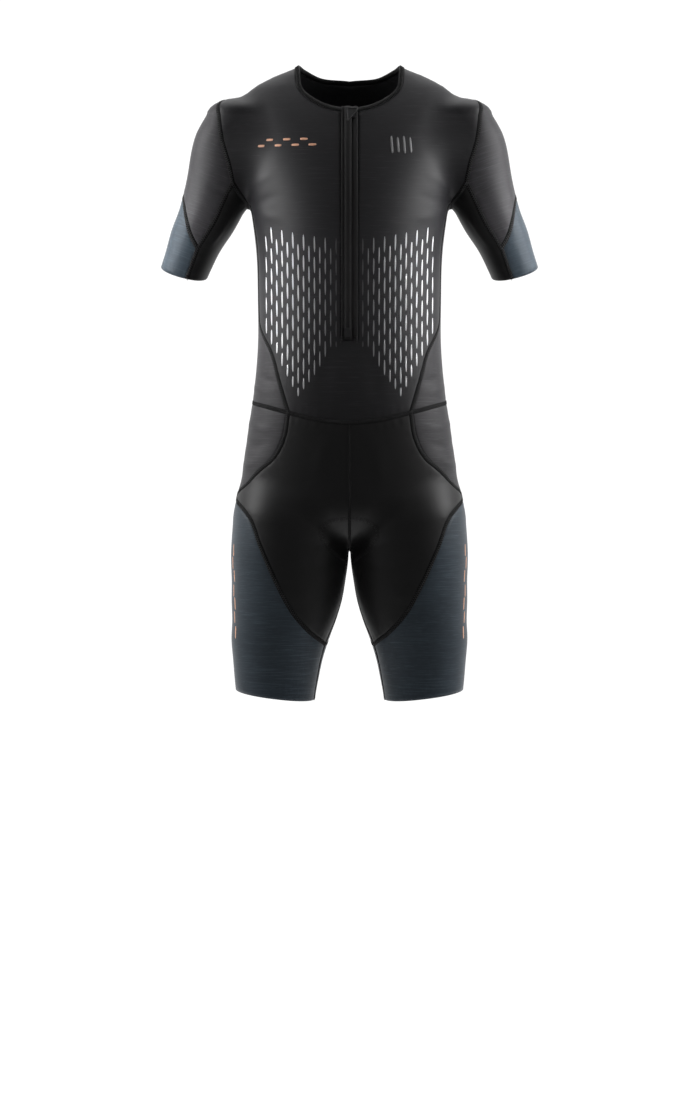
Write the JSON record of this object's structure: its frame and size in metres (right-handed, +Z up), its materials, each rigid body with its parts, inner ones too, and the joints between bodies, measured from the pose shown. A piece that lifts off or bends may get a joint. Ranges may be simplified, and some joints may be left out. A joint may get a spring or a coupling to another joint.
{
  "type": "triathlon suit",
  "caption": "Close-fitting one-piece sports suit with short sleeves, short legs and a front zip, standing hollow in the form it has when worn.",
  "frame": {"origin": "between the two shoulder tops, where the worn suit hangs from the shoulders", "axes": "+Z up, -Y is the front of the suit, +X the left side of whoever wears it"},
  "size_m": [0.5832, 0.2366, 0.9768],
  "materials": {
    "satin_black": "smooth satin stretch knit",
    "heather_grey": "fine heathered stretch knit",
    "slate_blue": "fine melange stretch knit",
    "ribbed_tape": "ribbed elastic binding",
    "zip_tape": "woven tape with covered coil",
    "hard_black": "satin black coating",
    "moulded_black": "soft moulded"
  },
  "bodies": {
    "suit": {"front": "satin_black", "back": "satin_black", "neck_binding": "ribbed_tape", "side_left": "heather_grey", "side_right": "heather_grey", "sleeve_cap_left": "heather_grey", "sleeve_cap_right": "heather_grey", "sleeve_inner_left": "satin_black", "sleeve_inner_right": "satin_black", "sleeve_cuff_left": "slate_blue", "sleeve_cuff_right": "slate_blue", "shorts_front_left": "satin_black", "shorts_front_right": "satin_black", "shorts_back_left": "satin_black", "shorts_back_right": "satin_black", "hip_left": "heather_grey", "hip_right": "heather_grey", "thigh_left": "slate_blue", "thigh_right": "slate_blue", "zip_tape_right": "zip_tape", "zip_tape_left": "zip_tape", "zip_slider": "hard_black", "zip_stop": "hard_black"},
    "pull_tab": {"pull_tab": "moulded_black"}
  },
  "joints": [
    {"name": "tab_swing", "type": "hinge", "parent": "suit", "child": "pull_tab", "pos_m": [0.004, -0.08009, -0.07154], "axis": [-1, 0, 0], "range_deg": [0, 120]}
  ]
}
